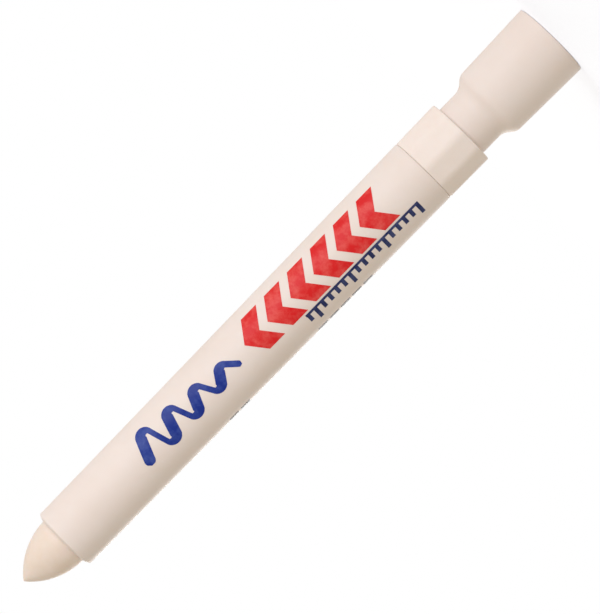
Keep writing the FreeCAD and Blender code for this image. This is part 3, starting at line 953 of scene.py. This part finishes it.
thread_sizes = {
    "Lead": THREAD_LEAD * MM, "Crest Width": THREAD_CREST * MM, "Flank Width": THREAD_FLANK * MM,
    "Segments": THREAD_SEGMENTS, "Rows": THREAD_ROWS,
}
threading = make_thread_tree()
natural_plastic = moulded_plastic("natural_plastic", NATURAL, NATURAL_DEEP, INNER_SATIN, UNHANDLED)
spindle = shaped("spindle_rod", spindle_ends_mesh(), natural_plastic, [
    (threading, thread_sizes | {
        "Low": (JOURNAL_Z + FLANGE_THICKNESS) * MM, "High": (SPINDLE_HIGH.z - POINT_LENGTH) * MM,
        "Core Radius": THREAD_CORE_R * MM, "Crest Radius": THREAD_CREST_R * MM,
        "Run Out": THREAD_RUN_OUT * MM,
    }),
])
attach(spindle, "knob")
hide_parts("screw_spindle")


# Paint carrier
# The drive nut and the cup that holds the paint stick's foot, in one moulding of the natural plastic. Its
# four lugs slide in the barrel's grooves, so the spindle can't turn it, and its bore has the same thread.

CARRIER_LOW, CARRIER_HIGH = [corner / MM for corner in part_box("paint_carrier")]
CARRIER_SEGMENTS = 96
CUP_R = 5.75
CUP_INNER_R = 5.2
CUP_FLOOR_Z = CARRIER_LOW.z + 4.0
CUP_FOOT_R = 0.25
CUP_EDGE_R = 0.1
CUP_FLOOR_R = 0.2
LUG_ROOT_R = CUP_INNER_R + 0.2
LUG_R = 6.3
LUG_WIDTH = 1.3
LUG_LOW_Z = CARRIER_LOW.z + 0.5
THREAD_GAP = 0.12
TAP_CORE_R = THREAD_CORE_R + THREAD_GAP
TAP_Z = (CARRIER_LOW.z - THREAD_LEAD, CUP_FLOOR_Z + THREAD_LEAD)
TAP_RUN_OUT = 0.5
SLIVER = 0.01


def make_carrier_tree():
    """Adds lugs round the nut and cuts the spindle's thread, made a little larger, from its bore."""
    tree, given = shape_tree("lugs_and_thread", [("Thread", "Object")] + BAR_INPUTS)
    whole = add_node(tree, "GeometryNodeMeshBoolean", operation="UNION", solver="EXACT")
    tree.links.new(given["Geometry"], whole.inputs["Mesh 2"])
    tree.links.new(ring_of_bars(tree, given), whole.inputs["Mesh 2"])
    tap = add_node(tree, "GeometryNodeObjectInfo", {"Object": given["Thread"]})
    tapped = add_node(
        tree, "GeometryNodeMeshBoolean", {"Mesh 1": whole.outputs[0], "Mesh 2": tap.outputs["Geometry"]},
        operation="DIFFERENCE", solver="EXACT",
    )
    end_tree(tree, given, welded(tree, tapped.outputs[0], SLIVER))
    return tree


def tap_mesh():
    """Plain ends for the oversized screw that taps the nut."""
    low_z, high_z = TAP_Z
    angles = even_angles(THREAD_SEGMENTS)
    places = ring_places(TAP_CORE_R, low_z, ROUND, angles) + ring_places(TAP_CORE_R, high_z, ROUND, angles)
    low_end = tuple(reversed(range(THREAD_SEGMENTS)))
    high_end = tuple(range(THREAD_SEGMENTS, 2 * THREAD_SEGMENTS))
    return plain_mesh("tap_ends", places, faces=[low_end, high_end])


tap = shaped("tap", tap_mesh(), natural_plastic, [
    (threading, thread_sizes | {
        "Low": TAP_Z[0] * MM, "High": TAP_Z[1] * MM,
        "Core Radius": TAP_CORE_R * MM, "Crest Radius": (THREAD_CREST_R + THREAD_GAP) * MM,
        "Crest Width": (THREAD_CREST + 2 * THREAD_GAP) * MM, "Run Out": TAP_RUN_OUT * MM,
    }),
])
carrier_outline = outline_mesh([
    (0.0, CARRIER_LOW.z),
    (CUP_R, CARRIER_LOW.z, CUP_FOOT_R),
    (CUP_R, CARRIER_HIGH.z, CUP_EDGE_R),
    (CUP_INNER_R, CARRIER_HIGH.z, CUP_EDGE_R),
    (CUP_INNER_R, CUP_FLOOR_Z, CUP_FLOOR_R),
    (0.0, CUP_FLOOR_Z),
], closed=False)
carrier = shaped("carrier_nut", carrier_outline, natural_plastic, [
    (turning, {"Segments": CARRIER_SEGMENTS}),
    (make_carrier_tree(), {
        "Thread": tap, "Count": GUIDE_COUNT, "Inner Radius": LUG_ROOT_R * MM, "Outer Radius": LUG_R * MM,
        "Width": LUG_WIDTH * MM, "Low": LUG_LOW_Z * MM, "High": CUP_FLOOR_Z * MM,
    }),
])
bpy.data.objects.remove(tap)
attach(carrier, "paint")
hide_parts("paint_carrier")


# Paint stick
# Solid paint cast as a crayon: pigment in a stiff wax, with a bore that clears the spindle and a foot that
# sits in the carrier's cup. Its ogive tip has the matt, slightly pitted skin of wax that has been touched.

STICK_LOW, STICK_HIGH = [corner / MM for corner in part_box("paint_stick")]
STICK_SEGMENTS = 112
STICK_R = 5.75
STICK_EDGE_R = 0.1
TIP_LENGTH = STICK_HIGH.z - MOUTH_Z
TIP_BLUNT_R = 0.35
TIP_STEPS = (32, 8)
FOOT_R = 5.2
FOOT_EDGE_R = 0.2
FOOT_STEP_R = 0.05
STICK_BORE_R = 3.1
STICK_BORE_Z = SPINDLE_HIGH.z + 14.2
BORE_POINT = 0.8
BORE_POINT_R = 0.3
BORE_MOUTH_R = 0.15
PAINT_CREAM = (0.86, 0.745, 0.67, 1.0)
PAINT_CREAM_DEEP = (0.82, 0.69, 0.59, 1.0)
WAX_CLOUDS = 210.0
WAX_DENTS = 450.0
WAX_PITS = 900.0
PITTED_PLACES = 330.0
WAX_BUMP = (0.35, 0.12)
WAX_MILK = (0.25, 1.2)
WAX_GLOW = (1.0, 0.65, 0.4)


def tip_points():
    """The ogive from the stick's side to the apex: a long arc and a small blunt one."""
    square = STICK_R ** 2 + TIP_LENGTH ** 2 - 2 * TIP_LENGTH * TIP_BLUNT_R
    side_r = square / (2 * (STICK_R - TIP_BLUNT_R))
    lean = math.asin((TIP_LENGTH - TIP_BLUNT_R) / (side_r - TIP_BLUNT_R))
    side_steps, blunt_steps = TIP_STEPS
    points = []
    for k in range(side_steps + 1):
        angle = lean * k / side_steps
        points.append((STICK_R - side_r + side_r * math.cos(angle), MOUTH_Z + side_r * math.sin(angle)))
    for k in range(1, blunt_steps):
        angle = lean + (math.pi / 2 - lean) * k / blunt_steps
        points.append((TIP_BLUNT_R * math.cos(angle), STICK_HIGH.z - TIP_BLUNT_R * (1 - math.sin(angle))))
    return points + [(0.0, STICK_HIGH.z)]


def wax_paint():
    """Matt, slightly translucent wax with pits, soft dents and a faint cloud of deeper cream."""
    material, tree, shader, place = material_start("solid_paint")
    cloudy = remap(tree, noise(tree, place, WAX_CLOUDS, detail=4.0, roughness=0.6), 0.38, 0.7)
    tone = blended(tree, cloudy, PAINT_CREAM, PAINT_CREAM_DEEP)
    cells = add_node(tree, "ShaderNodeTexVoronoi", {"Vector": place, "Scale": WAX_PITS}, feature="F1")
    from_pit = remap(tree, cells.outputs["Distance"], 0.0, 0.3)
    pitted = remap(tree, noise(tree, place, PITTED_PLACES), 0.55, 0.62)
    pit = calc(tree, "MULTIPLY", calc(tree, "SUBTRACT", 1.0, from_pit), pitted)
    dents = noise(tree, place, WAX_DENTS, detail=3.0)
    height = calc(tree, "SUBTRACT", dents, calc(tree, "MULTIPLY", pit, 0.6))
    rough = remap(tree, dents, 0.0, 1.0, 0.48, 0.68)
    dress(tree, shader, tone, rough, height, WAX_BUMP, {
        "Subsurface Weight": WAX_MILK[0],
        "Subsurface Scale": WAX_MILK[1] * MM,
        "Subsurface Radius": WAX_GLOW,
    })
    return material


stick_outline = outline_mesh([
    (0.0, STICK_BORE_Z),
    (STICK_BORE_R, STICK_BORE_Z - BORE_POINT, BORE_POINT_R),
    (STICK_BORE_R, STICK_LOW.z, BORE_MOUTH_R),
    (FOOT_R, STICK_LOW.z, FOOT_EDGE_R),
    (FOOT_R, CARRIER_HIGH.z, FOOT_STEP_R),
    (STICK_R, CARRIER_HIGH.z, STICK_EDGE_R),
] + tip_points(), closed=False)
stick = shaped("paint_crayon", stick_outline, wax_paint(), [(turning, {"Segments": STICK_SEGMENTS})])
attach(stick, "paint")
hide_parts("paint_stick")


# Cap
# One hollow moulding in the barrel's plastic. Its flared sleeve goes over the mouth when the marker isn't
# in use. Here it is put away behind: its nose sits in the knob's socket, and the marker stands on its rim.

CAP_LOW, CAP_HIGH = [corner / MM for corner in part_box("cap")]
CAP_SEGMENTS = 128
CAP_ARC_STEPS = 6
SLEEVE_INNER_R = 7.42
RIM_R = 8.75
RIM_EDGE_R = (0.2, 0.28)
SHOULDER_R = 8.3
SHOULDER_Z = 18.7
SHOULDER_ARC_R = 2.6
NECK_R = 6.35
NECK_Z = 20.9
NECK_ARC_R = 3.4
NOSE_EDGE_R = 0.9
STOP_R = 6.95
STOP_Z = 17.2
STOP_EDGE_R = 0.1
CAVITY_R = 5.55
CAVITY_Z = (20.5, 33.2)
CAVITY_EDGE_R = (0.8, 0.6)

cap_outline = outline_mesh([
    (SLEEVE_INNER_R, CAP_LOW.z, RIM_EDGE_R[0]),
    (RIM_R, CAP_LOW.z, RIM_EDGE_R[1]),
    (SHOULDER_R, SHOULDER_Z, SHOULDER_ARC_R),
    (NECK_R, NECK_Z, NECK_ARC_R),
    (NECK_R, CAP_HIGH.z, NOSE_EDGE_R),
    (0.0, CAP_HIGH.z),
    (0.0, CAVITY_Z[1]),
    (CAVITY_R, CAVITY_Z[1], CAVITY_EDGE_R[1]),
    (CAVITY_R, CAVITY_Z[0], CAVITY_EDGE_R[0]),
    (STOP_R, STOP_Z, STOP_EDGE_R),
    (SLEEVE_INNER_R, STOP_Z, STOP_EDGE_R),
], steps=CAP_ARC_STEPS)
cap = shaped("cap_shell", cap_outline, white_plastic, [(turning, {"Segments": CAP_SEGMENTS})])
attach(cap, "cap")
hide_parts("cap")


# Floor and backdrop
# A plain white floor that keeps the marker's shadow and fades to pure white further out. The world lights
# the marker softly, and is seen as pure white by the camera and in reflections.

FLOOR_HALF = 4000.0
FLOOR_Z = -0.05
FLOOR_WHITE = (0.85, 0.85, 0.85, 1.0)
FLOOR_GLOW = 0.47
FLOOR_COOL = (0.77, 0.84, 1.0, 1.0)
FLOOR_FADE = (120.0, 450.0)
AMBIENT = 0.61
AMBIENT_WARMTH = (1.0, 0.92, 0.765, 1.0)
PURE_WHITE = (1.0, 1.0, 1.0, 1.0)


def seen_white(tree):
    """One where the camera looks, also by a reflection or through something clear."""
    path = add_node(tree, "ShaderNodeLightPath").outputs
    direct = calc(tree, "ADD", path["Is Camera Ray"], path["Is Glossy Ray"])
    return calc(tree, "MINIMUM", calc(tree, "ADD", direct, path["Is Transmission Ray"]), 1.0)


floor_corners = []
for x, y in ((-1, -1), (1, -1), (1, 1), (-1, 1)):
    floor_corners.append((x * FLOOR_HALF * MM, y * FLOOR_HALF * MM, FLOOR_Z * MM))
floor = add_object("floor", plain_mesh("floor", floor_corners, faces=[(0, 1, 2, 3)]))
floor_material = bpy.data.materials.new("floor")
floor_material.use_nodes = True
floor_tree = floor_material.node_tree
floor_tree.nodes.clear()
seen = seen_white(floor_tree)
spot = add_node(floor_tree, "ShaderNodeTexCoord").outputs["Object"]
from_middle = add_node(floor_tree, "ShaderNodeVectorMath", {0: spot}, operation="LENGTH").outputs["Value"]
matt = add_node(floor_tree, "ShaderNodeBsdfDiffuse", {"Color": FLOOR_WHITE})
glow = add_node(floor_tree, "ShaderNodeEmission", {
    "Color": FLOOR_COOL, "Strength": calc(floor_tree, "MULTIPLY", seen, FLOOR_GLOW),
})
near = add_node(floor_tree, "ShaderNodeAddShader", {0: matt.outputs[0], 1: glow.outputs[0]})
far = add_node(floor_tree, "ShaderNodeEmission", {"Strength": 1.0})
fade = remap(floor_tree, from_middle, FLOOR_FADE[0] * MM, FLOOR_FADE[1] * MM)
faded = calc(floor_tree, "MULTIPLY", seen, fade)
both = add_node(floor_tree, "ShaderNodeMixShader", {0: faded, 1: near.outputs[0], 2: far.outputs[0]})
add_node(floor_tree, "ShaderNodeOutputMaterial", {"Surface": both.outputs[0]})
floor.data.materials.append(floor_material)

world = bpy.data.worlds.new("studio")
bpy.context.scene.world = world
world.use_nodes = True
world_tree = world.node_tree
world_tree.nodes.clear()
around = add_node(world_tree, "ShaderNodeBackground", {"Color": AMBIENT_WARMTH, "Strength": AMBIENT})
behind = add_node(world_tree, "ShaderNodeBackground", {"Color": PURE_WHITE, "Strength": 1.0})
sky = add_node(world_tree, "ShaderNodeMixShader", {
    0: seen_white(world_tree), 1: around.outputs[0], 2: behind.outputs[0],
})
add_node(world_tree, "ShaderNodeOutputWorld", {"Surface": sky.outputs[0]})


# Lights
# A broad soft key on the side that the photo shows bright, and a weaker lamp behind for the other side.
# Each has its place from the marker's middle and its size in metres, its power in watts and its colour.

MARKER_MIDDLE = Vector((0.0, 0.0, (cad_low.z + cad_high.z) / 2))
LAMPS = (
    ("key", (0.62, -0.74, 0.09), (0.6, 0.3), 4.65, (0.89, 0.915, 1.0)),
    ("back", (-0.25, 0.95, 0.15), (0.8, 0.4), 3.6, (1.0, 1.0, 1.0)),
)

for label, place, size, power, colour in LAMPS:
    lamp = bpy.data.lights.new(label, "AREA")
    lamp.shape = "RECTANGLE"
    lamp.size, lamp.size_y = size
    lamp.energy = power
    lamp.color = colour
    holder = add_object(label, lamp)
    holder.location = MARKER_MIDDLE + Vector(place)
    holder.rotation_mode = "QUATERNION"
    holder.rotation_quaternion = Vector(place).to_track_quat("Z", "Y")


# Camera
# It looks square at the marker's printed side from about 0.9 m, and is rolled so that the tip is low on
# the left. Its place follows from where the photo shows the tip, and from the photo's scale in pixels.

FRAME_PX = (600, 614)
TIP_PX = Vector((24.0, 581.0))
AXIS_PX = Vector((0.6973, -0.7168))
PX_PER_MM = 4.82
FOCAL_PX = 4400.0
SENSOR = 36.0

to_middle = Vector(FRAME_PX) / 2 - TIP_PX
down_axis = to_middle.dot(AXIS_PX) / PX_PER_MM
aside = to_middle.dot(Vector((-AXIS_PX.y, AXIS_PX.x))) / PX_PER_MM
camera_data = bpy.data.cameras.new("camera")
camera_data.sensor_width = SENSOR
camera_data.lens = FOCAL_PX / max(FRAME_PX) * SENSOR
camera = add_object("camera", camera_data)
right = Vector((AXIS_PX.y, 0.0, -AXIS_PX.x))
up = Vector((AXIS_PX.x, 0.0, AXIS_PX.y))
camera.rotation_mode = "QUATERNION"
camera.rotation_quaternion = Matrix((right, up, right.cross(up))).transposed().to_quaternion()
camera.location = Vector((-aside, -FOCAL_PX / PX_PER_MM, cad_high.z / MM - down_axis)) * MM
bpy.context.scene.camera = camera
bpy.context.scene.view_settings.view_transform = "Standard"
